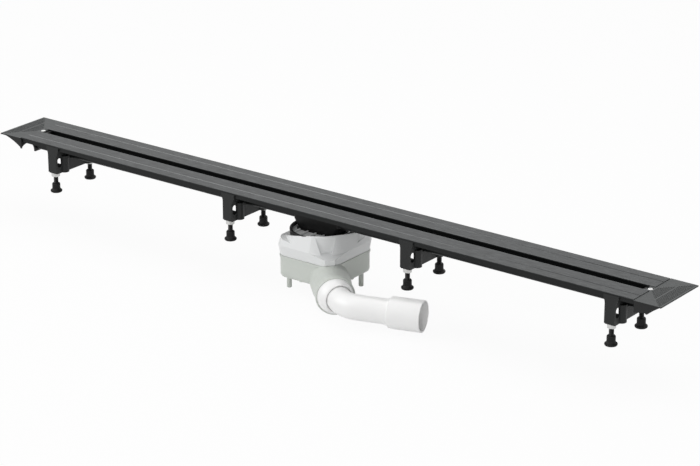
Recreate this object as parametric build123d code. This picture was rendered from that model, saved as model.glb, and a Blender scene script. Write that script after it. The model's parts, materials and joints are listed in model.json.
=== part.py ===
"""Slotted shower drain channel with adjustable feet, a two-shell trap and a ball-jointed outlet.

All sizes are in millimetres. X runs along the channel, Y across it and Z up. The origin is the
centre of the channel's top face, straight above the drain.
"""
from build123d import *
import os
from math import cos, radians, sin, sqrt

# Clearances
SEAT = 0.3
RUNNING = 0.05
SEAL_GAP = 0.1

# Channel profile: a plate with edge lips and a gutter below its slot
PROFILE_LENGTH = 1200.0
PROFILE_WIDTH = 102.0
PLATE_THICKNESS = 2.5
SLOT_WIDTH = 18.0
GUTTER_INNER_WIDTH = 26.0
GUTTER_WALL = 2.5
GUTTER_DEPTH = 30.0
GUTTER_ROUND = 4.0
LIP_DEPTH = 9.0
LIP_WALL = 2.0
LIP_HOOK = 4.5
LINE_OFFSET = 33.0
LINE_WIDTH = 1.2
LINE_DEPTH = 0.4
RIB_WIDTH = 1.6
RIB_DEPTH = 2.2

# End caps
CAP_FLANGE_LENGTH = 46.0
CAP_FLANGE_HALF_WIDTH = 53.0
CAP_FLANGE_THICKNESS = 1.8
CAP_STEP = 0.8
CAP_WALL = 3.0
CAP_SKIRT_DEPTH = 20.0
CAP_SKIRT_WALL = 2.0
CAP_ARCH_TOP = 14.0
CAP_BELLY_DEPTH = 34.0
CAP_BELLY_HALF_WIDTH = 18.0
CAP_TONGUE_LENGTH = 8.0
CAP_PLUG_LENGTH = 14.0
CAP_RIB_PITCH = 2.6
CAP_RIB_GROOVE = 1.0
CAP_RIB_DEPTH = 0.4
CAP_FACET_START = 5.0
CAP_FACET_SLOPE = 1.15
CAP_SEAL_THICKNESS = 1.2
CAP_SEAL_RECESS = 0.9
CAP_SCREW_INSET = 3.0
CAP_SCREW_HEAD_RADIUS = 4.4
CAP_SCREW_HEAD_HEIGHT = 2.0
CAP_SCREW_SHANK_RADIUS = 2.0
CAP_SCREW_LENGTH = 15.0

# Brackets: the outer two from the profile's ends, the inner two from the drain
LEFT_BRACKET_INSET = 68.0
RIGHT_BRACKET_INSET = 40.5
INNER_BRACKET_X = (-153.5, 195.5)
FOOT_Y = 42.0
FACE_Y = 51.0
FACE_WALL = 2.2
FACE_TOP_LEFT = -10.3
FACE_TOP_RIGHT = 16.5
FACE_LEFT = -7.8
FACE_RIGHT = 9.8
FACE_BOTTOM = -48.3
FACE_FLARE_Z = -20.0
FACE_CURVE_Z = -17.0
LEG_BOTTOM = -50.3
LEG_DEPTH = 15.5
LEG_BLOCK_TOP = -37.0
SIDE_WALL = 2.0
WEB_WALL = 2.0
WEB_TOP = -5.0
WINDOW_WIDTH = 10.0
WINDOW_HEIGHT = 16.0
WINDOW_Y = 42.5
WINDOW_Z = -31.5
STIFFENER_Y = 28.5
STIFFENER_RADIUS = 8.0
STIFFENER_WALL = 2.0
STIFFENER_TOP = -22.0
SADDLE_WALL = 2.2
SADDLE_CHEEK = 8.0

# Feet
ROD_DIAMETER = 7.9
ROD_TOP = -14.0
NUT_ACROSS_FLATS = 13.0
NUT_HEIGHT = 6.5
PAD_BOTTOM = -84.3
PAD_TOP = -68.5
PAD_NECK_RADIUS = 5.2
PAD_BODY_RADIUS = 6.8
PAD_BASE_RADIUS = 9.7
PAD_BASE_HEIGHT = 3.2
ROD_IN_PAD = 9.0

# Drain tub below the gutter
TUB_TOP_HALF_LENGTH = 45.0
TUB_FLOOR_HALF_LENGTH = 31.0
TUB_HALF_WIDTH = 18.0
TUB_ROUND = 6.0
TUB_WALL = 2.2
TUB_FLOOR_TOP = -52.0
TUB_FLOOR = 2.5
TUB_CHEEK_TOP = -22.0
TUB_SEAL_LIP = 1.3
TUB_SEAL_LIP_HEIGHT = 1.2
DRAIN_HALF_LENGTH = 39.5
DRAIN_HALF_WIDTH = 11.5

# Trap shells
TRAP_X = 5.0
TRAP_HALF_LENGTH = 53.0
TRAP_HALF_WIDTH = 56.0
TRAP_ROUND = 14.0
TRAP_WALL = 2.5
TRAP_BOTTOM = -118.0
TRAP_BOTTOM_ROUND = 7.0
SEAM_Z = -80.0
RIM_HEIGHT = 3.5
RIM_STEP = 1.2
BULGE_Z = -63.0
BULGE = 3.0
DECK_Z = -50.0
PLATFORM_TOP = -45.0
CREST_Z = -36.6
CREST_INSET = 5.0
CREST_DISTANCE = 50.0
FALL_START = 2.0
FALL_SLOPE = 0.25
LOBE_FOOT_Z = -78.0
LOBE_FOOT_RADIUS = 66.5
LOBE_TOP_RADIUS = 54.0
VALLEY_OFFSET = -2.0
VALLEY_TOP_HALF_WIDTH = 17.0
VALLEY_FLOOR_HALF_WIDTH = 8.0
VALLEY_FLOOR_Z = -68.0
CLIP_PROUD = 2.5
CLIP_WIDTH = 16.0
CLIP_HEIGHT = 8.5
CLIP_DEPTH = 4.5
CLIP_Z = -72.3
RING_OUTER_RADIUS = 52.0
RING_WALL = 4.0
RING_TOP = -40.0
PEG_RADIUS = 4.0
PEG_X = 44.0
PEG_Y = 36.0
PEG_BOTTOM = -140.0
WEIR_DISTANCE = 36.0
WEIR_TOP = -92.0

# Removable trap insert and hair sieve
INSERT_HALF_LENGTH = 27.0
INSERT_HALF_WIDTH = 7.3
INSERT_WALL = 1.5
INSERT_BOTTOM = -110.0
INSERT_FLANGE = 1.4
INSERT_FLANGE_HEIGHT = 2.0
INSERT_SEAL_HEIGHT = 1.0
SIEVE_HEIGHT = 2.0
SIEVE_SLOTS = 9
SIEVE_GRIP_HEIGHT = 9.0

# Outlet: boss, union ring, ball elbow and end sleeve
OUTLET_ANGLE = -45.0
OUTLET_Z = -108.5
BOSS_RADIUS = 31.5
BOSS_START = 47.0
BOSS_SHOULDER = 80.0
BOSS_END = 103.0
BOSS_END_RADIUS = 28.8
BOSS_BORE = 26.0
PASSAGE_START = 92.0
PASSAGE_END = 97.0
PASSAGE_BORE = 20.0
SPIGOT_RADIUS = 27.8
SPIGOT_LENGTH = 2.5
BALL_SEAL_LENGTH = 4.5
BALL_DISTANCE = 117.0
BALL_RADIUS = 29.0
BALL_BACK = 19.0
BALL_FRONT = 17.5
BALL_GROOVE_WIDTH = 1.5
BALL_GROOVE_DEPTH = 4.0
UNION_RADIUS = 30.0
UNION_FRONT_RADIUS = 31.2
UNION_END = 121.5
UNION_BORE_END = 107.0
SWING_AT_REST = 13.5
PIPE_RADIUS = 20.0
PIPE_BORE = 18.0
ELBOW_TURN = 48.5
ELBOW_STUB = 46.5
ELBOW_RADIUS = 45.0
PIPE_END = 124.5
SLEEVE_RADIUS = 25.0
SLEEVE_BORE = 22.9
SLEEVE_LENGTH = 54.0
SLEEVE_NECK = 3.0
SLEEVE_NECK_RADIUS = 21.2
SLEEVE_TAPER = 3.0
SOCKET_DEPTH = 30.0
SLEEVE_SEAL_WIDTH = 5.0
SLEEVE_SEAL_HEIGHT = 2.4

PROFILE_END = PROFILE_LENGTH / 2
BRACKET_X = (LEFT_BRACKET_INSET - PROFILE_END, *INNER_BRACKET_X, PROFILE_END - RIGHT_BRACKET_INSET)
SLOT_HALF = SLOT_WIDTH / 2
GUTTER_INNER = GUTTER_INNER_WIDTH / 2
GUTTER_OUTER = GUTTER_INNER + GUTTER_WALL
LIP_OUTER = FACE_Y - FACE_WALL - SEAT
ROD_RADIUS = ROD_DIAMETER / 2


def block(x0, x1, y0, y1, z0, z1):
    """A rectangular block between two limits on each axis."""
    centre = Pos((x0 + x1) / 2, (y0 + y1) / 2, (z0 + z1) / 2)
    return centre * Box(x1 - x0, y1 - y0, z1 - z0)


def rod(radius, z0, z1, x=0.0, y=0.0):
    """An upright cylinder between two heights."""
    return Pos(x, y, (z0 + z1) / 2) * Cylinder(radius, z1 - z0)


def prism(half_x, half_y, corner, z0, z1, x=0.0):
    """An upright prism with a rounded rectangular outline."""
    outline = RectangleRounded(2 * half_x, 2 * half_y, corner)
    return extrude(Pos(x, 0, z0) * outline, z1 - z0)


def stadium(half_x, half_y, z0, z1):
    """An upright prism whose outline has fully rounded ends."""
    return extrude(Pos(0, 0, z0) * SlotOverall(2 * half_x, 2 * half_y), z1 - z0)


def turned(*corners):
    """A solid of revolution about Z from (radius, height) corners."""
    return revolve(Plane.XZ * make_face(Polyline(*corners, close=True)), Axis.Z)


def across(outline, x0, x1):
    """An outline drawn in Y and Z, made solid from x0 to x1."""
    return extrude(Plane.YZ.offset(x0) * outline, x1 - x0)


def both_sides(solid):
    """A solid with its mirror image on the other side of the channel's axis."""
    return solid + mirror(solid, Plane.XZ)


def gutter_section(half_width, depth, corner):
    """The gutter's outline in Y and Z, from the top face down, with rounded lower corners."""
    outline = Pos(0, -depth / 2) * Rectangle(2 * half_width, depth)
    return fillet(outline.vertices().group_by(Axis.Y)[0], corner)


def channel_profile():
    """Extruded plate with its slot, gutter, edge lips, hooks, ribs and scored lines."""
    plate = Pos(0, -PLATE_THICKNESS / 2) * Rectangle(PROFILE_WIDTH, PLATE_THICKNESS)
    section = plate + gutter_section(GUTTER_OUTER, GUTTER_DEPTH, GUTTER_ROUND)
    for side in (-1, 1):
        lip_y = side * (LIP_OUTER - LIP_WALL / 2)
        section += Pos(lip_y, -LIP_DEPTH / 2) * Rectangle(LIP_WALL, LIP_DEPTH)
        hook_y = side * (LIP_OUTER - LIP_HOOK / 2)
        section += Pos(hook_y, LIP_WALL / 2 - LIP_DEPTH) * Rectangle(LIP_HOOK, LIP_WALL)
        rib_z = -PLATE_THICKNESS - RIB_DEPTH / 2
        section += Pos(side * LINE_OFFSET, rib_z) * Rectangle(RIB_WIDTH, RIB_DEPTH)
        section -= Pos(side * LINE_OFFSET, 0) * Rectangle(LINE_WIDTH, 2 * LINE_DEPTH)
    hollow_depth = GUTTER_DEPTH - GUTTER_WALL
    hollow = gutter_section(GUTTER_INNER, hollow_depth, GUTTER_ROUND - GUTTER_WALL)
    section -= hollow - Pos(0, -PLATE_THICKNESS / 2) * Rectangle(PROFILE_WIDTH, PLATE_THICKNESS)
    section -= Rectangle(SLOT_WIDTH, 4 * PLATE_THICKNESS)
    solid = across(section, -PROFILE_END, PROFILE_END)
    drain = stadium(DRAIN_HALF_LENGTH, DRAIN_HALF_WIDTH, -GUTTER_DEPTH - 1, -GUTTER_DEPTH / 2)
    return solid - drain


def cap_wall_outline():
    """The end wall across the channel, arched up between its skirts and its belly."""
    half = FACE_Y
    arch_y = (half + CAP_BELLY_HALF_WIDTH) / 2
    top = -CAP_STEP - CAP_FLANGE_THICKNESS / 2
    right = [
        Line((0, top), (half, top)),
        Line((half, top), (half, -CAP_SKIRT_DEPTH)),
        ThreePointArc((half, -CAP_SKIRT_DEPTH), (arch_y, -CAP_ARCH_TOP),
                      (CAP_BELLY_HALF_WIDTH, -CAP_BELLY_DEPTH)),
        Line((CAP_BELLY_HALF_WIDTH, -CAP_BELLY_DEPTH), (0, -CAP_BELLY_DEPTH)),
        Line((0, -CAP_BELLY_DEPTH), (0, top)),
    ]
    half_face = make_face(Curve() + right)
    return half_face + mirror(half_face, Plane.YZ)


def cap_skirt(side):
    """One side skirt below the flange: straight on the near side, hollow-curved on the far one."""
    start = PROFILE_END + SEAT
    tip = PROFILE_END + CAP_FLANGE_LENGTH - 1
    foot = PROFILE_END + CAP_FLANGE_LENGTH / 2
    top = -CAP_STEP - CAP_FLANGE_THICKNESS / 2
    low = -CAP_SKIRT_DEPTH
    if side < 0:
        edge = Polyline((tip, top), (foot, low + 3.5), (start, low))
    else:
        edge = Spline((tip, top), (foot - 3, -9), (start, low))
    outline = make_face(Curve() + [Line((start, low), (start, top)), Line((start, top), (tip, top)), edge])
    flat = extrude(Plane.XZ * outline, CAP_SKIRT_WALL / 2, both=True)
    return Pos(0, side * (FACE_Y - CAP_SKIRT_WALL / 2), 0) * flat


def cap_grooves():
    """Fine parallel grooves across the flange, bounded by the two smooth facets."""
    grooves = []
    count = int((CAP_FLANGE_LENGTH - CAP_FACET_START - 3) / CAP_RIB_PITCH)
    for step in range(count + 1):
        distance = CAP_FACET_START + step * CAP_RIB_PITCH
        reach = min(SLOT_HALF / 2 + CAP_FACET_SLOPE * distance, FACE_Y)
        if step != count // 2:
            x = PROFILE_END + distance
            grooves.append(block(x, x + CAP_RIB_GROOVE, -reach, reach,
                                 -CAP_STEP - CAP_RIB_DEPTH, 0))
    return grooves


def end_cap():
    """The right-hand end cap: flange, end wall, skirts, and the plug that closes the gutter."""
    flange_bottom = -CAP_STEP - CAP_FLANGE_THICKNESS
    start = PROFILE_END + SEAT
    flange = block(start, PROFILE_END + CAP_FLANGE_LENGTH, -CAP_FLANGE_HALF_WIDTH,
                   CAP_FLANGE_HALF_WIDTH, flange_bottom, -CAP_STEP)
    rim = flange.edges().filter_by(Axis.Y).sort_by(Axis.X)[-2:].sort_by(Axis.Z)[-1]
    flange = chamfer(rim, CAP_RIB_DEPTH)
    cap = flange + across(cap_wall_outline(), start, start + CAP_WALL)
    cap += cap_skirt(-1) + cap_skirt(1)
    tongue_half = SLOT_HALF - SEAT
    cap += block(PROFILE_END - CAP_TONGUE_LENGTH, start, -tongue_half, tongue_half,
                 -PLATE_THICKNESS - 1, -CAP_STEP)
    plug = gutter_section(GUTTER_INNER - SEAT, GUTTER_DEPTH - GUTTER_WALL - SEAT,
                          GUTTER_ROUND - GUTTER_WALL)
    roof = Pos(0, -(PLATE_THICKNESS + SEAT) / 2) * Rectangle(PROFILE_WIDTH, PLATE_THICKNESS + SEAT)
    cap += across(plug - roof, PROFILE_END - CAP_PLUG_LENGTH, start)
    for side in (-1, 1):
        core_y = side * GUTTER_INNER * 0.52
        cap -= block(PROFILE_END - CAP_PLUG_LENGTH + CAP_WALL, start + CAP_WALL, core_y - 3, core_y + 3,
                     CAP_WALL - GUTTER_DEPTH + GUTTER_WALL, -PLATE_THICKNESS - CAP_WALL)
    pocket = gutter_section(GUTTER_OUTER + SEAT, GUTTER_DEPTH + SEAT, GUTTER_ROUND)
    pocket -= gutter_section(GUTTER_INNER - SEAT, GUTTER_DEPTH - GUTTER_WALL - SEAT,
                             GUTTER_ROUND - GUTTER_WALL)
    pocket -= roof
    cap -= across(pocket, PROFILE_END, start + CAP_SEAL_RECESS)
    for groove in cap_grooves():
        cap -= groove
    screw_x = PROFILE_END - CAP_SCREW_INSET
    head_seat = -CAP_STEP - CAP_SCREW_HEAD_HEIGHT
    cap -= rod(CAP_SCREW_HEAD_RADIUS + SEAT, head_seat, 1, screw_x)
    cap -= rod(CAP_SCREW_SHANK_RADIUS + RUNNING, head_seat - CAP_SCREW_LENGTH, 0, screw_x)
    return cap


def end_cap_seal():
    """Flat gasket between the gutter's end and the cap's end wall, open at the top."""
    ring = gutter_section(GUTTER_OUTER, GUTTER_DEPTH, GUTTER_ROUND)
    ring -= gutter_section(GUTTER_INNER - SEAL_GAP, GUTTER_DEPTH - GUTTER_WALL - SEAL_GAP,
                           GUTTER_ROUND - GUTTER_WALL)
    ring -= Pos(0, -(PLATE_THICKNESS + SEAT) / 2) * Rectangle(PROFILE_WIDTH, PLATE_THICKNESS + 2 * SEAT)
    return across(ring, PROFILE_END, PROFILE_END + CAP_SEAL_THICKNESS)


def cap_screw():
    """Pan-head screw through the cap's tongue, with a cross recess."""
    top = -CAP_STEP
    head = turned((0, top), (CAP_SCREW_HEAD_RADIUS - 1.2, top), (CAP_SCREW_HEAD_RADIUS, top - 1),
                  (CAP_SCREW_HEAD_RADIUS, top - CAP_SCREW_HEAD_HEIGHT), (0, top - CAP_SCREW_HEAD_HEIGHT))
    shank = rod(CAP_SCREW_SHANK_RADIUS, top - CAP_SCREW_LENGTH, top - 1)
    recess = block(-2.4, 2.4, -0.45, 0.45, top - 1.2, top + 1)
    recess += block(-0.45, 0.45, -2.4, 2.4, top - 1.2, top + 1)
    return Pos(PROFILE_END - CAP_SCREW_INSET, 0, 0) * (head + shank - recess)


def leg_face():
    """The flat front plate of a leg, flared at its top where it grips the channel's lip."""
    top = -PLATE_THICKNESS - SEAT
    outline = Curve() + [
        Line((FACE_LEFT, FACE_BOTTOM), (FACE_RIGHT, FACE_BOTTOM)),
        Line((FACE_RIGHT, FACE_BOTTOM), (FACE_RIGHT, FACE_FLARE_Z)),
        Line((FACE_RIGHT, FACE_FLARE_Z), (FACE_TOP_RIGHT, top)),
        Line((FACE_TOP_RIGHT, top), (FACE_TOP_LEFT, top)),
        Line((FACE_TOP_LEFT, top), (FACE_TOP_LEFT, -LIP_DEPTH)),
        ThreePointArc((FACE_TOP_LEFT, -LIP_DEPTH), (FACE_LEFT - 0.7, -LIP_DEPTH - 4),
                      (FACE_LEFT, FACE_CURVE_Z)),
        Line((FACE_LEFT, FACE_CURVE_Z), (FACE_LEFT, FACE_BOTTOM)),
    ]
    return extrude(Plane.XZ.offset(FACE_Y - FACE_WALL) * make_face(outline), FACE_WALL)


def leg():
    """The near leg: front plate, side wall, clip nose and the block that holds the nut."""
    inner_y = -FACE_Y + FACE_WALL
    back_y = inner_y + LEG_DEPTH
    solid = leg_face()
    solid += block(FACE_LEFT, FACE_LEFT + SIDE_WALL, inner_y, back_y, LEG_BOTTOM, -LIP_DEPTH - 2)
    solid += block(FACE_LEFT, FACE_RIGHT, inner_y, inner_y + LIP_HOOK, -LIP_DEPTH - SEAT - 2,
                   -LIP_DEPTH - SEAT)
    solid += block(FACE_LEFT, FACE_RIGHT, inner_y, back_y, LEG_BOTTOM, LEG_BLOCK_TOP)
    nut_half = NUT_ACROSS_FLATS / 2 + SEAT - SEAL_GAP
    nut_bottom, nut_top = captive_nut_heights()
    solid -= block(FACE_LEFT - 1, FACE_RIGHT - WEB_WALL, -FOOT_Y - nut_half, -FOOT_Y + nut_half,
                   nut_bottom, nut_top + SEAL_GAP)
    return solid


def captive_nut_heights():
    """The two faces of the nut held inside each leg."""
    bottom = LEG_BOTTOM + SIDE_WALL
    return bottom, bottom + NUT_HEIGHT


def bracket():
    """One foot bracket about its feet's axis: two legs, the cross web and the gutter's saddle."""
    inner_y = FACE_Y - FACE_WALL
    web = block(FACE_RIGHT - WEB_WALL, FACE_RIGHT, -inner_y, inner_y, LEG_BOTTOM, -LIP_DEPTH - SEAT)
    high = inner_y - LIP_HOOK - 2 * SEAT
    web += block(FACE_RIGHT - WEB_WALL, FACE_RIGHT, -high, high, -LIP_DEPTH - 1, WEB_TOP)
    legs = both_sides(leg())
    solid = web + legs
    solid += block(FACE_LEFT, FACE_RIGHT, -GUTTER_OUTER - SEAT - SADDLE_WALL,
                   GUTTER_OUTER + SEAT + SADDLE_WALL, -GUTTER_DEPTH - SEAT - SADDLE_WALL,
                   -GUTTER_DEPTH + SADDLE_CHEEK)
    for side in (-1, 1):
        tube = rod(STIFFENER_RADIUS, LEG_BOTTOM, STIFFENER_TOP, FACE_RIGHT - WEB_WALL, side * STIFFENER_Y)
        tube -= rod(STIFFENER_RADIUS - STIFFENER_WALL, LEG_BOTTOM, STIFFENER_TOP - STIFFENER_WALL,
                    FACE_RIGHT - WEB_WALL, side * STIFFENER_Y)
        half = block(FACE_RIGHT - WEB_WALL, FACE_RIGHT + STIFFENER_RADIUS, side * STIFFENER_Y - 20,
                     side * STIFFENER_Y + 20, LEG_BOTTOM, STIFFENER_TOP)
        solid += tube & half
    clear = GUTTER_OUTER + SEAT
    solid -= block(FACE_LEFT - 1, FACE_RIGHT + 1, -clear, clear, -GUTTER_DEPTH - SEAT, 0)
    window = RectangleRounded(WINDOW_WIDTH, WINDOW_HEIGHT, WINDOW_WIDTH / 2 - SEAL_GAP)
    for side in (-1, 1):
        solid -= across(Pos(side * WINDOW_Y, WINDOW_Z) * window, FACE_RIGHT - WEB_WALL - 1, FACE_RIGHT + 1)
        solid -= rod(ROD_RADIUS + SEAT, LEG_BOTTOM - 1, 0, 0, side * FOOT_Y)
    return solid


def hex_nut(bottom, x, y, bore):
    """A hexagon nut with two flats square to Y and chamfered corners."""
    radius = NUT_ACROSS_FLATS / sqrt(3)
    prism_body = extrude(Pos(x, y, bottom) * RegularPolygon(radius, 6), NUT_HEIGHT)
    mid = bottom + NUT_HEIGHT / 2
    barrel = turned((0, -NUT_HEIGHT / 2), (NUT_ACROSS_FLATS / 2, -NUT_HEIGHT / 2),
                    (radius, -NUT_HEIGHT / 2 + 0.8), (radius, NUT_HEIGHT / 2 - 0.8),
                    (NUT_ACROSS_FLATS / 2, NUT_HEIGHT / 2), (0, NUT_HEIGHT / 2))
    return (prism_body & Pos(x, y, mid) * barrel) - rod(bore, bottom - 1, bottom + NUT_HEIGHT + 1, x, y)


def captive_nuts(x):
    """The two nuts held in a bracket's legs."""
    bottom = captive_nut_heights()[0]
    near, far = (hex_nut(bottom, x, side * FOOT_Y, ROD_RADIUS + RUNNING) for side in (-1, 1))
    return Compound(children=[near, far])


def lock_nut(x, y):
    """The nut that is tightened up against the leg's underside."""
    return hex_nut(LEG_BOTTOM - NUT_HEIGHT, x, y, ROD_RADIUS + RUNNING)


def foot_rod(x, y):
    """The threaded rod, as a plain core with a chamfered top."""
    bottom = PAD_TOP - ROD_IN_PAD
    point = 0.8
    core = turned((0, bottom), (ROD_RADIUS, bottom), (ROD_RADIUS, ROD_TOP - point),
                  (ROD_RADIUS - point, ROD_TOP), (0, ROD_TOP))
    return Pos(x, y, 0) * core


def foot_pad(x, y):
    """The flared rubber foot, blind-bored for its rod."""
    outline = Curve() + [
        Line((0, PAD_BOTTOM), (PAD_BASE_RADIUS - 0.8, PAD_BOTTOM)),
        ThreePointArc((PAD_BASE_RADIUS - 0.8, PAD_BOTTOM), (PAD_BASE_RADIUS - 0.1, PAD_BOTTOM + 0.9),
                      (PAD_BASE_RADIUS, PAD_BOTTOM + PAD_BASE_HEIGHT)),
        ThreePointArc((PAD_BASE_RADIUS, PAD_BOTTOM + PAD_BASE_HEIGHT),
                      (PAD_BODY_RADIUS + 1.0, PAD_BOTTOM + PAD_BASE_HEIGHT + 1.6),
                      (PAD_BODY_RADIUS, PAD_BOTTOM + PAD_BASE_HEIGHT + 4.2)),
        Line((PAD_BODY_RADIUS, PAD_BOTTOM + PAD_BASE_HEIGHT + 4.2), (PAD_BODY_RADIUS, PAD_TOP - 2)),
        ThreePointArc((PAD_BODY_RADIUS, PAD_TOP - 2), (PAD_BODY_RADIUS - 0.7, PAD_TOP - 0.6),
                      (PAD_NECK_RADIUS, PAD_TOP)),
        Line((PAD_NECK_RADIUS, PAD_TOP), (0, PAD_TOP)),
        Line((0, PAD_TOP), (0, PAD_BOTTOM)),
    ]
    pad = revolve(Plane.XZ * make_face(outline), Axis.Z)
    return Pos(x, y, 0) * (pad - rod(ROD_RADIUS + RUNNING, PAD_TOP - ROD_IN_PAD, PAD_TOP + 1))


def tub_half_length(z):
    """Half the tub's outer length at a height below the gutter, where its ends slant in."""
    slant = (TUB_TOP_HALF_LENGTH - TUB_FLOOR_HALF_LENGTH) / (-GUTTER_DEPTH - TUB_FLOOR_TOP)
    return TUB_TOP_HALF_LENGTH + slant * (z + GUTTER_DEPTH)


def tub_form(grow, z0, z1):
    """The tub's slanting outer form between two heights, grown by a margin."""
    outlines = []
    for z in (z0, z1):
        outline = RectangleRounded(2 * (tub_half_length(z) + grow), 2 * (TUB_HALF_WIDTH + grow),
                                   TUB_ROUND + grow)
        outlines.append(Pos(0, 0, z) * outline)
    return loft(outlines)


def outlet_tub():
    """The drop tub under the gutter's drain opening, with cheeks that hold the gutter."""
    floor_bottom = TUB_FLOOR_TOP - TUB_FLOOR
    tub = tub_form(0, floor_bottom, -GUTTER_DEPTH)
    tub += prism(TUB_TOP_HALF_LENGTH, TUB_HALF_WIDTH, TUB_ROUND, -GUTTER_DEPTH, TUB_CHEEK_TOP)
    tub -= tub_form(-TUB_WALL, TUB_FLOOR_TOP, -GUTTER_DEPTH)
    hold = gutter_section(GUTTER_OUTER + SEAL_GAP, GUTTER_DEPTH + SEAL_GAP, GUTTER_ROUND)
    tub -= across(hold, -PROFILE_END, PROFILE_END)
    tub -= stadium(INSERT_HALF_LENGTH + SEAT, INSERT_HALF_WIDTH + SEAT, floor_bottom - 1, 0)
    return tub


def tub_port(grow, z0, z1):
    """The opening in the trap's platform for the tub and its seal, grown by a margin."""
    half_length = tub_half_length(PLATFORM_TOP + TUB_SEAL_LIP_HEIGHT) + TUB_WALL + grow
    return prism(half_length, TUB_HALF_WIDTH + TUB_WALL + grow, TUB_ROUND + TUB_WALL + grow, z0, z1)


def tub_seal():
    """Lip seal between the tub and the trap's deck, with its lip resting on the platform."""
    body_bottom = PLATFORM_TOP - 2 * TRAP_WALL
    body_top = PLATFORM_TOP + TUB_SEAL_LIP_HEIGHT
    seal = tub_port(-SEAL_GAP, body_bottom, body_top) + tub_port(TUB_SEAL_LIP, PLATFORM_TOP, body_top)
    return seal - tub_form(SEAL_GAP, body_bottom - 1, body_top + 1)


def outlet_frame(distance):
    """A place on the outlet's axis, its Z pointing out of the trap."""
    angle = radians(OUTLET_ANGLE)
    origin = (TRAP_X + distance * cos(angle), distance * sin(angle), OUTLET_Z)
    return Location(Plane(origin=origin, x_dir=(0, 0, 1), z_dir=(cos(angle), sin(angle), 0)))


def outlet_rod(radius, start, end):
    """A cylinder on the outlet's axis between two distances from the trap's centre."""
    return outlet_frame((start + end) / 2) * Cylinder(radius, end - start)


def diagonal_cut(*corners):
    """A solid from corners in (distance along the outlet's diagonal, height), wide across it."""
    angle = radians(OUTLET_ANGLE)
    plane = Plane(origin=(0, 0, 0), x_dir=(cos(angle), sin(angle), 0), z_dir=(sin(angle), -cos(angle), 0))
    return extrude(plane * make_face(Polyline(*corners, close=True)), 2 * TRAP_HALF_WIDTH, both=True)


def sideways_cut(*corners):
    """A solid from corners in (distance across the outlet's diagonal, height), long along it."""
    angle = radians(OUTLET_ANGLE)
    plane = Plane(origin=(0, 0, 0), x_dir=(-sin(angle), cos(angle), 0), z_dir=(cos(angle), sin(angle), 0))
    return extrude(plane * make_face(Polyline(*corners, close=True)), 2 * TRAP_HALF_WIDTH, both=True)


def corner_distance():
    """How far the trap's rounded corner reaches along the outlet's diagonal."""
    return (TRAP_HALF_LENGTH + TRAP_HALF_WIDTH - 2 * TRAP_ROUND) / sqrt(2) + TRAP_ROUND


def lid_valley(inset):
    """The valley between the lid's two lobes, ending at the wall under the ring's seat."""
    top = VALLEY_TOP_HALF_WIDTH + inset
    floor = VALLEY_FLOOR_HALF_WIDTH + inset
    valley = sideways_cut((VALLEY_OFFSET - top, 0), (VALLEY_OFFSET - top, CREST_Z),
                          (VALLEY_OFFSET - floor, VALLEY_FLOOR_Z), (VALLEY_OFFSET + floor, VALLEY_FLOOR_Z),
                          (VALLEY_OFFSET + top, CREST_Z), (VALLEY_OFFSET + top, 0))
    seat_wall = RING_OUTER_RADIUS + SEAT + TRAP_WALL - inset
    return valley - rod(seat_wall, SEAM_Z, 0)


def lid_forms(inset):
    """The lid's falling body and its two lobes, or their hollows when inset by the wall."""
    def outline(grow, z):
        size = RectangleRounded(2 * (TRAP_HALF_LENGTH + grow - inset), 2 * (TRAP_HALF_WIDTH + grow - inset),
                                TRAP_ROUND + grow - inset)
        return Pos(TRAP_X, 0, z) * size
    crest = CREST_Z - inset
    deck = DECK_Z - inset
    far = 4 * TRAP_HALF_WIDTH
    body = loft([outline(0, SEAM_Z), outline(BULGE, BULGE_Z)])
    body += loft([outline(BULGE, BULGE_Z), outline(-CREST_INSET, crest)])
    low = deck - FALL_SLOPE * (corner_distance() + BULGE - FALL_START)
    above_fall = diagonal_cut((-far, deck), (FALL_START, deck), (corner_distance() + BULGE, low),
                              (far, low), (far, 0), (-far, 0))
    above_rise = diagonal_cut((-far, deck), (FALL_START, deck), (CREST_DISTANCE, crest), (far, crest),
                              (far, 0), (-far, 0))
    cone = turned((0, LOBE_FOOT_Z), (LOBE_FOOT_RADIUS - inset, LOBE_FOOT_Z),
                  (LOBE_TOP_RADIUS - inset, crest), (0, crest))
    return body - above_fall, (body & cone) - above_rise - lid_valley(inset)


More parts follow.
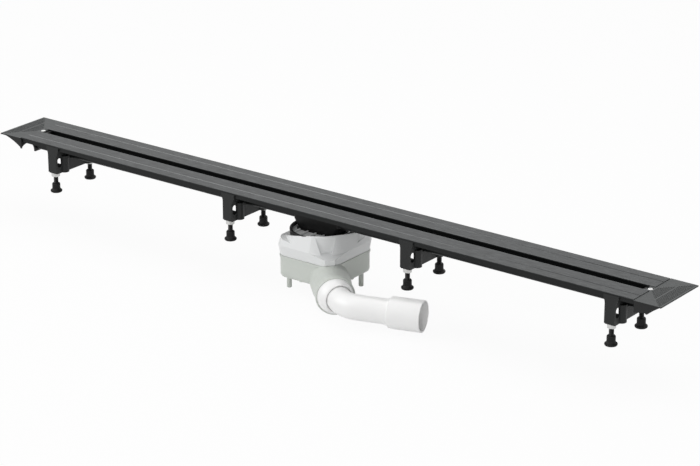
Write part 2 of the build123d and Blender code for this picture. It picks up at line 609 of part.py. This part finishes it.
def trap_upper_shell():
    """The lid of the trap: bulging sides, a falling front with two lobes, and the ring's platform."""
    ring_clear = RING_OUTER_RADIUS + SEAT
    body, lobes = lid_forms(0)
    body_hollow, lobes_hollow = lid_forms(TRAP_WALL)
    shell = body + lobes - body_hollow
    shell -= lobes_hollow - rod(ring_clear + TRAP_WALL, DECK_Z - TRAP_WALL, 0)
    shell -= rod(ring_clear, DECK_Z, 0)
    shell += rod(RING_OUTER_RADIUS, DECK_Z - TRAP_WALL, DECK_Z)
    shell -= prism(TRAP_HALF_LENGTH - TRAP_WALL, TRAP_HALF_WIDTH - TRAP_WALL, TRAP_ROUND - TRAP_WALL,
                   SEAM_Z - 1, SEAM_Z + 1, TRAP_X)
    clip_middle = corner_distance() + CLIP_PROUD - CLIP_DEPTH / 2
    shell += outlet_frame(clip_middle) * Pos(CLIP_Z - OUTLET_Z, -VALLEY_OFFSET, 0) * Box(
        CLIP_HEIGHT, CLIP_WIDTH, CLIP_DEPTH)
    shell -= outlet_rod(BOSS_RADIUS + SEAT, BOSS_START, BALL_DISTANCE)
    platform = RING_OUTER_RADIUS - RING_WALL - SEAT
    shell += rod(platform, DECK_Z - TRAP_WALL, PLATFORM_TOP)
    shell -= rod(platform - TRAP_WALL, DECK_Z - 2 * TRAP_WALL, PLATFORM_TOP - TRAP_WALL)
    ribs = []
    for x in (-28.0, -12.0, 4.0, 20.0):
        ribs.append(block(x - 0.8, x + 0.8, -RING_OUTER_RADIUS, RING_OUTER_RADIUS,
                          PLATFORM_TOP - 1, PLATFORM_TOP + 2.5))
    for rib in ribs:
        shell += rib & rod(platform, PLATFORM_TOP - 1, PLATFORM_TOP + 3)
    shell -= tub_port(TUB_SEAL_LIP + SEAT, PLATFORM_TOP, 0)
    shell -= tub_port(0, DECK_Z - 3 * TRAP_WALL, 0)
    return shell


def trap_ring_seal():
    """The black rubber ring standing round the trap's inlet, rounded at its top."""
    inner = RING_OUTER_RADIUS - RING_WALL
    middle = RING_OUTER_RADIUS - RING_WALL / 2
    outline = Curve() + [
        Line((inner, DECK_Z), (RING_OUTER_RADIUS - 0.6, DECK_Z)),
        Line((RING_OUTER_RADIUS - 0.6, DECK_Z), (RING_OUTER_RADIUS, RING_TOP - RING_WALL / 2)),
        ThreePointArc((RING_OUTER_RADIUS, RING_TOP - RING_WALL / 2), (middle, RING_TOP),
                      (inner, RING_TOP - RING_WALL / 2)),
        Line((inner, RING_TOP - RING_WALL / 2), (inner, DECK_Z)),
    ]
    return revolve(Plane.XZ * make_face(outline), Axis.Z)


def ball_clearance():
    """The hollow sphere that the ball turns in, on the outlet's axis."""
    return outlet_frame(BALL_DISTANCE) * Sphere(BALL_RADIUS + SEAT)


def outlet_boss():
    """The outlet's stub: a cylinder, a taper and a short spigot, with a seat for the ball's seal."""
    spigot_end = BOSS_END + SPIGOT_LENGTH
    boss = turned((0, BOSS_START), (BOSS_RADIUS, BOSS_START), (BOSS_RADIUS, BOSS_SHOULDER),
                  (BOSS_END_RADIUS, BOSS_END), (SPIGOT_RADIUS, BOSS_END), (SPIGOT_RADIUS, spigot_end),
                  (0, spigot_end))
    boss -= rod(PASSAGE_BORE, PASSAGE_START - 1, BOSS_END)
    boss -= rod(BOSS_BORE, PASSAGE_END, spigot_end + 1)
    return outlet_frame(0) * boss - ball_clearance()


def trap_lower_shell():
    """The trap's cup: rim, rounded bottom, pegs, outlet boss with its spigot, and the weir."""
    cup = prism(TRAP_HALF_LENGTH, TRAP_HALF_WIDTH, TRAP_ROUND, TRAP_BOTTOM, SEAM_Z - SEAT, TRAP_X)
    cup = fillet(cup.edges().group_by(Axis.Z)[0], TRAP_BOTTOM_ROUND)
    cup += prism(TRAP_HALF_LENGTH + RIM_STEP, TRAP_HALF_WIDTH + RIM_STEP, TRAP_ROUND + RIM_STEP,
                 SEAM_Z - RIM_HEIGHT, SEAM_Z - SEAT, TRAP_X)
    cup += outlet_boss()
    hollow = prism(TRAP_HALF_LENGTH - TRAP_WALL, TRAP_HALF_WIDTH - TRAP_WALL, TRAP_ROUND - TRAP_WALL,
                   TRAP_BOTTOM + TRAP_WALL, SEAM_Z + RIM_HEIGHT, TRAP_X)
    hollow = fillet(hollow.edges().group_by(Axis.Z)[0], TRAP_BOTTOM_ROUND - TRAP_WALL)
    cup -= hollow
    cup -= outlet_rod(BOSS_BORE, BOSS_START, PASSAGE_START)
    weir = diagonal_cut((WEIR_DISTANCE, TRAP_BOTTOM + 1), (WEIR_DISTANCE + TRAP_WALL, TRAP_BOTTOM + 1),
                        (WEIR_DISTANCE + TRAP_WALL, WEIR_TOP), (WEIR_DISTANCE, WEIR_TOP))
    cup += (weir & prism(TRAP_HALF_LENGTH - 1, TRAP_HALF_WIDTH - 1, TRAP_ROUND - 1, TRAP_BOTTOM + 1,
                         WEIR_TOP, TRAP_X)) - stadium(INSERT_HALF_LENGTH + 4, INSERT_HALF_WIDTH + 4,
                                                      TRAP_BOTTOM + TRAP_WALL + 0.5, WEIR_TOP + 1)
    for x, y in ((-PEG_X, -PEG_Y), (-PEG_X, PEG_Y), (PEG_X, PEG_Y)):
        peg = turned((0, PEG_BOTTOM), (PEG_RADIUS - 0.8, PEG_BOTTOM), (PEG_RADIUS, PEG_BOTTOM + 0.8),
                     (PEG_RADIUS, TRAP_BOTTOM + 1), (0, TRAP_BOTTOM + 1))
        cup += Pos(TRAP_X + x, y, 0) * peg
    return cup


def trap_insert():
    """The removable dip tube: a narrow oblong tube under a flange that rests in the tub."""
    seat = TUB_FLOOR_TOP + INSERT_SEAL_HEIGHT
    tube = stadium(INSERT_HALF_LENGTH, INSERT_HALF_WIDTH, INSERT_BOTTOM, seat + INSERT_FLANGE_HEIGHT)
    tube += stadium(INSERT_HALF_LENGTH + INSERT_FLANGE, INSERT_HALF_WIDTH + INSERT_FLANGE, seat,
                    seat + INSERT_FLANGE_HEIGHT)
    return tube - stadium(INSERT_HALF_LENGTH - INSERT_WALL, INSERT_HALF_WIDTH - INSERT_WALL,
                          INSERT_BOTTOM - 1, 0)


def trap_insert_seal():
    """The flat oblong gasket under the insert's flange."""
    ring = stadium(INSERT_HALF_LENGTH + INSERT_FLANGE - SEAL_GAP, INSERT_HALF_WIDTH + INSERT_FLANGE - SEAL_GAP,
                   TUB_FLOOR_TOP, TUB_FLOOR_TOP + INSERT_SEAL_HEIGHT)
    return ring - stadium(INSERT_HALF_LENGTH + SEAL_GAP, INSERT_HALF_WIDTH + SEAL_GAP,
                          TUB_FLOOR_TOP - 1, TUB_FLOOR_TOP + 2)


def hair_sieve():
    """The slotted sieve on top of the insert, with a grip to lift it by."""
    bottom = TUB_FLOOR_TOP + INSERT_SEAL_HEIGHT + INSERT_FLANGE_HEIGHT
    plate = stadium(INSERT_HALF_LENGTH, INSERT_HALF_WIDTH, bottom, bottom + SIEVE_HEIGHT)
    pitch = 2 * (INSERT_HALF_LENGTH - 6) / (SIEVE_SLOTS - 1)
    for step in range(SIEVE_SLOTS):
        x = step * pitch - (INSERT_HALF_LENGTH - 6)
        if step != SIEVE_SLOTS // 2:
            plate -= block(x - 1.8, x + 1.8, -INSERT_HALF_WIDTH + 2.2, INSERT_HALF_WIDTH - 2.2,
                           bottom - 1, bottom + SIEVE_HEIGHT + 1)
    grip = block(-9, 9, -1, 1, bottom + SIEVE_HEIGHT, bottom + SIEVE_GRIP_HEIGHT)
    grip -= block(-6, 6, -2, 2, bottom + SIEVE_HEIGHT + 1.5, bottom + SIEVE_GRIP_HEIGHT - 2)
    return plate + grip


def union_ring():
    """The ring over the boss's spigot, cupped inside to hold the ball."""
    start = BOSS_END + SEAT
    body = turned((0, start), (UNION_RADIUS - 0.4, start), (UNION_RADIUS, start + 0.5),
                  (UNION_FRONT_RADIUS, UNION_END - 2.5), (UNION_FRONT_RADIUS - 0.3, UNION_END - 0.9),
                  (UNION_FRONT_RADIUS - 1, UNION_END), (0, UNION_END))
    body -= rod(SPIGOT_RADIUS + SEAT, start - 1, UNION_BORE_END)
    return outlet_frame(0) * body - ball_clearance()


def outlet_ball_seal():
    """The rubber seal in the boss's counterbore, behind the ball."""
    ring = outlet_rod(BOSS_BORE - SEAL_GAP, PASSAGE_END, PASSAGE_END + BALL_SEAL_LENGTH)
    ring -= outlet_rod(PASSAGE_BORE + SEAL_GAP, PASSAGE_END - 1, BOSS_END)
    return ring - ball_clearance()


def ball_centre():
    """The centre of the ball joint."""
    angle = radians(OUTLET_ANGLE)
    return Vector(TRAP_X + BALL_DISTANCE * cos(angle), BALL_DISTANCE * sin(angle), OUTLET_Z)


def heading(angle):
    """A level direction at an angle in degrees from +X."""
    return Vector(cos(radians(angle)), sin(radians(angle)), 0)


STUB_ANGLE = OUTLET_ANGLE + SWING_AT_REST
PIPE_ANGLE = STUB_ANGLE + ELBOW_TURN


def pipe_end():
    """The centre of the sleeve's open end."""
    return ball_centre() + heading(STUB_ANGLE) * ELBOW_STUB + heading(PIPE_ANGLE) * PIPE_END


def pipe(radius, back, short):
    """A round pipe of one radius from behind the ball to short of the sleeve's open end."""
    start = ball_centre() - heading(STUB_ANGLE) * back
    corner = ball_centre() + heading(STUB_ANGLE) * ELBOW_STUB
    end = pipe_end() - heading(PIPE_ANGLE) * short
    path = FilletPolyline(start, corner, end, radius=ELBOW_RADIUS)
    mouth = Plane(origin=start, z_dir=heading(STUB_ANGLE)) * Circle(radius)
    return sweep(mouth, path)


def outlet_elbow():
    """The ball-ended elbow, in one piece with its straight pipe."""
    start = Plane(origin=ball_centre(), z_dir=heading(STUB_ANGLE))
    ball = Sphere(BALL_RADIUS) & rod(BALL_RADIUS + 1, -BALL_BACK, BALL_FRONT)
    ball -= rod(PIPE_RADIUS + BALL_GROOVE_WIDTH, BALL_FRONT - BALL_GROOVE_DEPTH, BALL_RADIUS)
    ball += rod(PIPE_RADIUS, 0, BALL_FRONT)
    elbow = start.location * ball + pipe(PIPE_RADIUS, 0, SOCKET_DEPTH + SEAT)
    return elbow - pipe(PIPE_BORE, BALL_RADIUS, SOCKET_DEPTH - 1)


def sleeve_frame():
    """The sleeve's open end, its Z pointing out of the sleeve."""
    return Plane(origin=pipe_end(), z_dir=heading(PIPE_ANGLE)).location


def outlet_sleeve():
    """The end sleeve from the pipe's diameter to the waste pipe's, with its seal groove."""
    socket = PIPE_RADIUS + SEAT
    body_start = -SLEEVE_LENGTH
    body = turned((0, body_start - SLEEVE_NECK), (SLEEVE_NECK_RADIUS, body_start - SLEEVE_NECK),
                  (SLEEVE_NECK_RADIUS, body_start), (SLEEVE_RADIUS, body_start + SLEEVE_TAPER),
                  (SLEEVE_RADIUS, 0), (0, 0))
    body -= rod(socket, body_start - SLEEVE_NECK - 1, -SOCKET_DEPTH)
    body -= rod(PIPE_BORE + 1, -SOCKET_DEPTH - 1, 1)
    body -= rod(SLEEVE_BORE, 2 - SOCKET_DEPTH, 1)
    groove = -SOCKET_DEPTH - 2 * SLEEVE_SEAL_WIDTH
    body -= rod(socket + SLEEVE_SEAL_HEIGHT, groove - SEAL_GAP, groove + SLEEVE_SEAL_WIDTH + SEAL_GAP)
    return sleeve_frame() * body


def sleeve_seal():
    """The rubber ring in the sleeve's groove."""
    groove = -SOCKET_DEPTH - 2 * SLEEVE_SEAL_WIDTH
    ring = rod(PIPE_RADIUS + SEAT + SLEEVE_SEAL_HEIGHT - SEAL_GAP, groove, groove + SLEEVE_SEAL_WIDTH)
    return sleeve_frame() * (ring - rod(PIPE_RADIUS + SEAL_GAP, groove - 1, groove + SLEEVE_SEAL_WIDTH + 1))


def build():
    """Every piece by its name."""
    parts = {
        "channel_profile": channel_profile(),
        "outlet_tub": outlet_tub(),
        "tub_seal": tub_seal(),
        "trap_upper_shell": trap_upper_shell(),
        "trap_lower_shell": trap_lower_shell(),
        "trap_ring_seal": trap_ring_seal(),
        "trap_insert": trap_insert(),
        "trap_insert_seal": trap_insert_seal(),
        "hair_sieve": hair_sieve(),
        "union_ring": union_ring(),
        "outlet_ball_seal": outlet_ball_seal(),
        "outlet_elbow": outlet_elbow(),
        "outlet_sleeve": outlet_sleeve(),
        "sleeve_seal": sleeve_seal(),
    }
    right = {"end_cap": end_cap(), "end_cap_seal": end_cap_seal(), "cap_screw": cap_screw()}
    for name, solid in right.items():
        parts[name + "_right"] = solid
        parts[name + "_left"] = Rot(0, 0, 180) * solid
    frame = bracket()
    for number, x in enumerate(BRACKET_X, start=1):
        parts[f"bracket_{number}"] = Pos(x, 0, 0) * frame
        parts[f"captive_nuts_{number}"] = captive_nuts(x)
        for side, y in (("near", -FOOT_Y), ("far", FOOT_Y)):
            parts[f"lock_nut_{number}_{side}"] = lock_nut(x, y)
            parts[f"foot_rod_{number}_{side}"] = foot_rod(x, y)
            parts[f"foot_pad_{number}_{side}"] = foot_pad(x, y)
    return parts


os.makedirs("parts", exist_ok=True)
for name, solid in build().items():
    export_step(solid, f"parts/{name}.step")
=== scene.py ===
"""Looks of the slotted shower drain channel: finishes, rod threads, floor, light and camera.

Lengths are in metres in the part's own frame: X along the channel, Y across it, Z up, with the
origin at the centre of the channel's top face.
"""
import json
import math

import bmesh
import bpy
from mathutils import Euler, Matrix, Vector


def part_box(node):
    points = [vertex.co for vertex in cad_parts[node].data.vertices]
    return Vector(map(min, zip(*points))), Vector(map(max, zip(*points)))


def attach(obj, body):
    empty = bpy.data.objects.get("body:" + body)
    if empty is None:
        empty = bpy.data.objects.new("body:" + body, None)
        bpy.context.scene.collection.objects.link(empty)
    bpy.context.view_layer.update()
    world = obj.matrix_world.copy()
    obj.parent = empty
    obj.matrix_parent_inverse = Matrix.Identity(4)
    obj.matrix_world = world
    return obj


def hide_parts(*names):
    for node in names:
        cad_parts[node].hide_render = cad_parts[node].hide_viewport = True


# Camera, fitted to the photograph: place in metres, angles in degrees, lens and sensor in mm
CAMERA_PLACE = Vector((2.39516, -3.10329, 1.43039))
CAMERA_YAW = 37.03
CAMERA_PITCH = -20.70
CAMERA_LENS = 136.8
SENSOR_WIDTH = 36.0
CLIP_END = 100.0

# Floor under the trap's pegs, and how much of its shade shows
FLOOR_Z = -0.140
FLOOR_SIZE = 40.0
FLOOR_GREY = (0.82, 0.82, 0.82, 1.0)
FLOOR_SHADE = 0.06
WHITE = (1.0, 1.0, 1.0, 1.0)

# Light of the surround, and the soft square lights: name, place, side and power in watts
SURROUND = 0.3
LIGHTS = (
    ("key", (-2.4, -2.4, 1.9), 2.4, 60),
    ("fill", (2.2, -2.6, 0.9), 2.0, 24),
    ("top", (0.0, 0.6, 3.2), 3.2, 64),
)

# Marks on the profile: painted highlights along the scored lines and where they fade out, and
# painted highlights on the slot's edges
LINE_PLACE = 0.033
LINE_REACH = 0.0008
LINE_SOFT = 0.0005
LINE_FADE_X = 0.3
LINE_FADE_LENGTH = 0.3
SLOT_EDGE = 0.0095
SLOT_EDGE_REACH = 0.0004

# Heights below which painted shade darkens the profile's sides and the end caps' grooves and sides
SIDE_SHADE_TOP = -0.0008
GROOVE_SHADE_TOP = -0.0010

# Heights of the surface grain
PLASTIC_GRAIN = 0.00002
RUBBER_GRAIN = 0.00002
BRUSHED_GRAIN = 0.00002
PLATED_GRAIN = 0.00001

# Pieces of the white pipe, which take a lighter copy of the white plastic as painted light
WHITE_PIPE = ("outlet_elbow", "outlet_sleeve")

# Thread of the foot rods
ROD_RADIUS = 0.00395
THREAD_PITCH = 0.00125
THREAD_DEPTH = 0.0006
THREAD_STEPS = 24
MERGE_DISTANCE = 0.00001


class Value:
    """A number that varies over a surface. Arithmetic on it adds Math nodes."""

    def __init__(self, nodes, socket):
        self.nodes = nodes
        self.socket = socket

    def math(self, operation, first, second=0.0, clamp=False):
        """The result of one Math node on two numbers or values."""
        settings = {"operation": operation, "use_clamp": clamp}
        made = self.nodes.add("ShaderNodeMath", settings, {0: first, 1: second})
        return Value(self.nodes, made.outputs[0])

    def __add__(self, other):
        return self.math("ADD", self, other)

    def __sub__(self, other):
        return self.math("SUBTRACT", self, other)

    def __mul__(self, other):
        return self.math("MULTIPLY", self, other)

    def __truediv__(self, other):
        return self.math("DIVIDE", self, other)

    def __rsub__(self, other):
        return self.math("SUBTRACT", other, self)

    __radd__ = __add__
    __rmul__ = __mul__

    def __abs__(self):
        return self.math("ABSOLUTE", self)

    def clamped(self):
        """The value held between 0 and 1."""
        return self.math("ADD", self, 0.0, clamp=True)

    def above(self, limit, soft):
        """0 below a limit and 1 above it, over a soft edge."""
        return ((self - limit) / soft + 0.5).clamped()

    def within(self, centre, reach, soft):
        """1 near a centre value, falling to 0 past its reach over a soft edge."""
        return 1 - abs(self - centre).above(reach, soft)


class Nodes:
    """A node tree, written with one method for every kind of node."""

    def __init__(self, tree):
        self.tree = tree

    def plug(self, socket, source):
        """Links a socket to its source, or sets its value."""
        if isinstance(source, Value):
            source = source.socket
        if isinstance(source, bpy.types.NodeSocket):
            self.tree.links.new(source, socket)
        else:
            socket.default_value = source

    def add(self, kind, settings=None, inputs=None):
        """A node of a kind: its settings first, then the values or links of its sockets."""
        node = self.tree.nodes.new(kind)
        for name, setting in (settings or {}).items():
            setattr(node, name, setting)
        for name, source in (inputs or {}).items():
            self.plug(node.inputs[name], source)
        return node


class Finish(Nodes):
    """A procedural material under construction: colour, gloss and relief in object coordinates."""

    def __init__(self, name, colour, roughness, metallic=0.0, specular=0.5):
        self.material = bpy.data.materials.new(name)
        self.material.use_nodes = True
        super().__init__(self.material.node_tree)
        self.shader = self.tree.nodes["Principled BSDF"]
        self.shader.inputs["Metallic"].default_value = metallic
        self.shader.inputs["Specular IOR Level"].default_value = specular
        self.colour = (*colour, 1.0)
        self.roughness = roughness
        self.relief = 0.0
        self.place = self.add("ShaderNodeTexCoord").outputs["Object"]
        split = self.add("ShaderNodeSeparateXYZ", None, {0: self.place})
        self.x, self.y, self.z = (Value(self, output) for output in split.outputs)

    def noise(self, scale, stretch=(1.0, 1.0, 1.0), detail=3.0):
        """Noise about zero, between minus a half and a half: grains to a metre, times a stretch."""
        mapping = self.add("ShaderNodeMapping", None, {"Vector": self.place, "Scale": stretch})
        inputs = {"Vector": mapping.outputs[0], "Scale": scale, "Detail": detail}
        return Value(self, self.add("ShaderNodeTexNoise", None, inputs).outputs[0]) - 0.5

    def tint(self, amount, colour):
        """Blends a second colour into the base by an amount between 0 and 1."""
        inputs = {0: amount.clamped(), 6: self.colour, 7: (*colour, 1.0)}
        self.colour = self.add("ShaderNodeMix", {"data_type": "RGBA"}, inputs).outputs[2]

    def done(self):
        """The material, with its colour, gloss and relief plugged in."""
        self.plug(self.shader.inputs["Base Color"], self.colour)
        self.plug(self.shader.inputs["Roughness"], self.roughness)
        heights = {"Strength": 1.0, "Distance": 1.0, "Height": self.relief}
        bump = self.add("ShaderNodeBump", None, heights)
        self.plug(self.shader.inputs["Normal"], bump.outputs[0])
        return self.material


def scaled(colour, factor):
    """A colour made lighter or darker."""
    return tuple(min(1.0, part * factor) for part in colour)


def moulded(name, colour, roughness, mottle=0.12, specular=0.5):
    """Moulded plastic: fine grain, with faint clouds of tone and of gloss."""
    finish = Finish(name, colour, roughness, specular=specular)
    finish.tint(finish.noise(40.0) * 2, scaled(colour, 1 + mottle))
    finish.tint(finish.noise(90.0) * 1.5, scaled(colour, 1 - mottle))
    finish.roughness = finish.noise(120.0) * 0.16 + roughness
    finish.relief = finish.noise(2500.0, detail=1.0) * PLASTIC_GRAIN
    return finish


def cap_plastic():
    """The end caps' plastic, with painted shade in the grooves and on everything below them."""
    colour = (0.054, 0.058, 0.058)
    finish = moulded("cap_plastic", colour, 0.45, specular=0.3)
    # painted shade: everything below the caps' top face, grooves and sides, darkened
    finish.tint(1 - finish.z.above(GROOVE_SHADE_TOP, 0.0002), scaled(colour, 0.12))
    return finish


def profile_metal():
    """Dark extrusion: a brushed top with fine and coarse streaks, painted highlights along two
    scored lines and on the slot's edges, and painted shade on everything below the top face.
    """
    finish = Finish("profile_metal", (0.057, 0.060, 0.061), 0.42, metallic=0.25, specular=0.25)
    along = (0.6, 60.0, 60.0)
    finish.tint(finish.noise(28.0, along, 4.0) * 1.8, (0.115, 0.120, 0.122))
    finish.tint(finish.noise(45.0, along, 4.0) * 1.5, (0.03, 0.032, 0.033))
    streaks = finish.noise(28.0, (2.0, 14.0, 14.0), 4.0)
    finish.tint(streaks * 2.2, (0.13, 0.136, 0.138))
    finish.tint(streaks * -2.6, (0.022, 0.023, 0.024))
    off_axis = abs(finish.y)
    fade = 1 - finish.x.above(LINE_FADE_X, LINE_FADE_LENGTH)
    # painted highlight along the scored lines, broken up by noise and fading out past LINE_FADE_X
    line_highlight_strength = (finish.noise(3.0, (1.0, 0.0, 0.0)) + 0.7) * fade
    line = off_axis.within(LINE_PLACE, LINE_REACH, LINE_SOFT)
    finish.tint(line * line_highlight_strength, (0.5, 0.51, 0.51))
    # painted highlight on the slot's edges
    slot_edge_highlight = off_axis.within(SLOT_EDGE, SLOT_EDGE_REACH, SLOT_EDGE_REACH)
    finish.tint(slot_edge_highlight * 0.5, (0.22, 0.23, 0.23))
    # painted shade: everything below the top face darkened to near black
    finish.tint(1 - finish.z.above(SIDE_SHADE_TOP, 0.0004), (0.008, 0.009, 0.009))
    finish.roughness = finish.noise(32.0, along) * 0.25 + 0.42
    finish.relief = finish.noise(60.0, along, 2.0) * BRUSHED_GRAIN
    return finish


def rubber(name, colour, roughness):
    """Matt rubber with a fine bloom."""
    finish = Finish(name, colour, roughness, specular=0.2)
    finish.tint(finish.noise(150.0) * 1.6, scaled(colour, 2.2))
    finish.roughness = finish.noise(300.0) * 0.2 + roughness
    finish.relief = finish.noise(3000.0, detail=1.0) * RUBBER_GRAIN
    return finish


def plated(name, colour, roughness, metallic):
    """Plated or blackened steel with fine tool marks round the pieces."""
    finish = Finish(name, colour, roughness, metallic=metallic)
    finish.tint(finish.noise(400.0, (1.0, 1.0, 4.0)) * 1.5, scaled(colour, 0.6))
    finish.roughness = finish.noise(600.0, (1.0, 1.0, 6.0)) * 0.3 + roughness
    finish.relief = finish.noise(1500.0, (1.0, 1.0, 4.0)) * PLATED_GRAIN
    return finish


def finishes():
    """The material of each slot of the record, and a lighter copy of the white plastic that paints
    extra light onto the pipe.
    """
    made = {
        "profile_metal": profile_metal(),
        "cap_plastic": cap_plastic(),
        "bracket_plastic": moulded("bracket_plastic", (0.015, 0.016, 0.016), 0.45, specular=0.25),
        "black_plastic": moulded("black_plastic", (0.004, 0.004, 0.004), 0.4, specular=0.18),
        "black_rubber": rubber("black_rubber", (0.006, 0.006, 0.006), 0.55),
        "white_plastic": moulded("white_plastic", (0.78, 0.79, 0.79), 0.34, mottle=0.015),
        "grey_white_plastic": moulded("grey_white_plastic", (0.60, 0.63, 0.59), 0.38, mottle=0.03),
        "zinc_steel": plated("zinc_steel", (0.62, 0.62, 0.61), 0.35, 0.8),
        "bright_steel": plated("bright_steel", (0.92, 0.92, 0.91), 0.35, 0.6),
        "black_steel": plated("black_steel", (0.02, 0.02, 0.02), 0.38, 0.5),
        # painted light: a lighter copy of the white plastic for the pipe
        "brightened_pipe_white": moulded("brightened_pipe_white", (0.91, 0.91, 0.905), 0.34, mottle=0.01),
    }
    return {name: finish.done() for name, finish in made.items()}


def dress(frame):
    """Gives each piece of the frame its finish, and returns the finishes."""
    slot_of = {item["node"]: item["material_slot"] for item in frame["record"]["subparts"]}
    made = finishes()
    for node, piece in frame["nodes"].items():
        # painted light: the pipe takes a lighter copy of the white plastic
        finish = "brightened_pipe_white" if node in WHITE_PIPE else slot_of[node]
        piece.data.materials.clear()
        piece.data.materials.append(made[finish])
    return made


def everything(mesh):
    """All the vertices, edges and faces of a mesh."""
    return mesh.verts[:] + mesh.edges[:] + mesh.faces[:]


def thread(low, high):
    """A threaded rod about the Z axis: one turn wound from an outline, copied up the length."""
    mesh = bmesh.new()
    foot = low - THREAD_PITCH
    turns = math.ceil((high - low) / THREAD_PITCH) + 2
    outline = [mesh.verts.new((ROD_RADIUS - depth, 0, foot + rise * THREAD_PITCH))
               for depth, rise in ((THREAD_DEPTH, -0.5), (0, 0), (THREAD_DEPTH, 0.5))]
    edges = [mesh.edges.new(pair) for pair in zip(outline, outline[1:])]
    bmesh.ops.spin(mesh, geom=outline + edges, axis=(0, 0, 1), cent=(0, 0, 0),
                   dvec=(0, 0, THREAD_PITCH / THREAD_STEPS), angle=2 * math.pi, steps=THREAD_STEPS)
    bmesh.ops.spin(mesh, geom=everything(mesh), axis=(0, 0, 1), cent=(0, 0, 0),
                   dvec=(0, 0, THREAD_PITCH), angle=0, steps=turns, use_duplicate=True)
    bmesh.ops.remove_doubles(mesh, verts=mesh.verts, dist=MERGE_DISTANCE)
    for height, side in ((low, -1), (high, 1)):
        cut = bmesh.ops.bisect_plane(mesh, geom=everything(mesh), plane_co=(0, 0, height),
                                     plane_no=(0, 0, side), clear_outer=True)
        rim = [item for item in cut["geom_cut"] if isinstance(item, bmesh.types.BMEdge)]
        bmesh.ops.contextual_create(mesh, geom=rim)
    bmesh.ops.recalc_face_normals(mesh, faces=mesh.faces)
    return mesh


def threaded_rod(node, body, material):
    """A rod with its thread, in the place of a plain rod of the frame."""
    low, high = (Vector(corner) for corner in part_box(node))
    mesh = thread(low.z, high.z)
    middle = (low + high) / 2
    bmesh.ops.translate(mesh, verts=mesh.verts, vec=(middle.x, middle.y, 0))
    data = bpy.data.meshes.new("threaded_" + node)
    mesh.to_mesh(data)
    mesh.free()
    data.materials.append(material)
    piece = bpy.data.objects.new("threaded_" + node, data)
    bpy.context.collection.objects.link(piece)
    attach(piece, body)
    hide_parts(node)


def rods(frame, made):
    """The eight threaded rods, each on its own foot."""
    for body, nodes in frame["record"]["behaviour"]["bodies"].items():
        for node in nodes:
            if node.startswith("foot_rod"):
                threaded_rod(node, body, made["black_steel"])


def seen_directly(nodes):
    """1 for camera rays, reflections and rays through clear material, and 0 for other light."""
    path = nodes.add("ShaderNodeLightPath")
    camera, glossy, through = (Value(nodes, path.outputs[name]) for name in
                               ("Is Camera Ray", "Is Glossy Ray", "Is Transmission Ray"))
    return (camera + glossy + through).clamped()


def pale_floor():
    """A white floor that shows a trace of the shadow."""
    bpy.ops.mesh.primitive_plane_add(size=FLOOR_SIZE, location=(0, 0, FLOOR_Z))
    floor = bpy.context.object
    floor.name = "floor"
    material = bpy.data.materials.new("floor")
    material.use_nodes = True
    nodes = Nodes(material.node_tree)
    nodes.tree.nodes.clear()
    paint = nodes.add("ShaderNodeBsdfDiffuse", None, {"Color": FLOOR_GREY})
    white = nodes.add("ShaderNodeEmission", None, {"Color": WHITE, "Strength": 1.0})
    share = seen_directly(nodes) * (1 - FLOOR_SHADE)
    surfaces = {0: share, 1: paint.outputs[0], 2: white.outputs[0]}
    mix = nodes.add("ShaderNodeMixShader", None, surfaces)
    nodes.add("ShaderNodeOutputMaterial", None, {"Surface": mix.outputs[0]})
    floor.data.materials.append(material)


def area_light(name, place, size, power):
    """A soft square light aimed at the part's origin."""
    data = bpy.data.lights.new(name, "AREA")
    data.size = size
    data.energy = power
    light = bpy.data.objects.new(name, data)
    light.location = place
    light.rotation_euler = (-Vector(place)).to_track_quat("-Z", "Y").to_euler()
    bpy.context.collection.objects.link(light)


def studio():
    """Plain studio light: a dim even surround, white to the eye, and the soft square lights."""
    world = bpy.data.worlds.new("studio")
    world.use_nodes = True
    nodes = Nodes(world.node_tree)
    background = nodes.tree.nodes["Background"]
    nodes.plug(background.inputs["Color"], WHITE)
    nodes.plug(background.inputs["Strength"], seen_directly(nodes) * (1 - SURROUND) + SURROUND)
    bpy.context.scene.world = world
    for light in LIGHTS:
        area_light(*light)


def camera():
    """The camera at the photograph's viewing angle."""
    data = bpy.data.cameras.new("camera")
    data.lens = CAMERA_LENS
    data.sensor_width = SENSOR_WIDTH
    data.sensor_fit = "HORIZONTAL"
    data.clip_end = CLIP_END
    piece = bpy.data.objects.new("camera", data)
    piece.location = CAMERA_PLACE
    tilt, turn = math.radians(90 + CAMERA_PITCH), math.radians(CAMERA_YAW)
    piece.rotation_euler = Euler((tilt, 0, turn), "XYZ")
    bpy.context.collection.objects.link(piece)
    bpy.context.scene.camera = piece


bpy.context.scene.view_settings.view_transform = "Standard"
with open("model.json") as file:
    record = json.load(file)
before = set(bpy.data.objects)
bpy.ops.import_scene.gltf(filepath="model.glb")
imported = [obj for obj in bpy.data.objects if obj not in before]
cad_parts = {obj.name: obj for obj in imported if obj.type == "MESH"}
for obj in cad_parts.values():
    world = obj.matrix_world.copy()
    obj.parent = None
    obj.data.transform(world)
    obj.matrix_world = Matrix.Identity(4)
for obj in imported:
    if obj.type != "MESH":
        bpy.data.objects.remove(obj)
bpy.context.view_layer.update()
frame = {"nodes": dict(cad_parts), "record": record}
made = dress(frame)
rods(frame, made)
pale_floor()
studio()
camera()
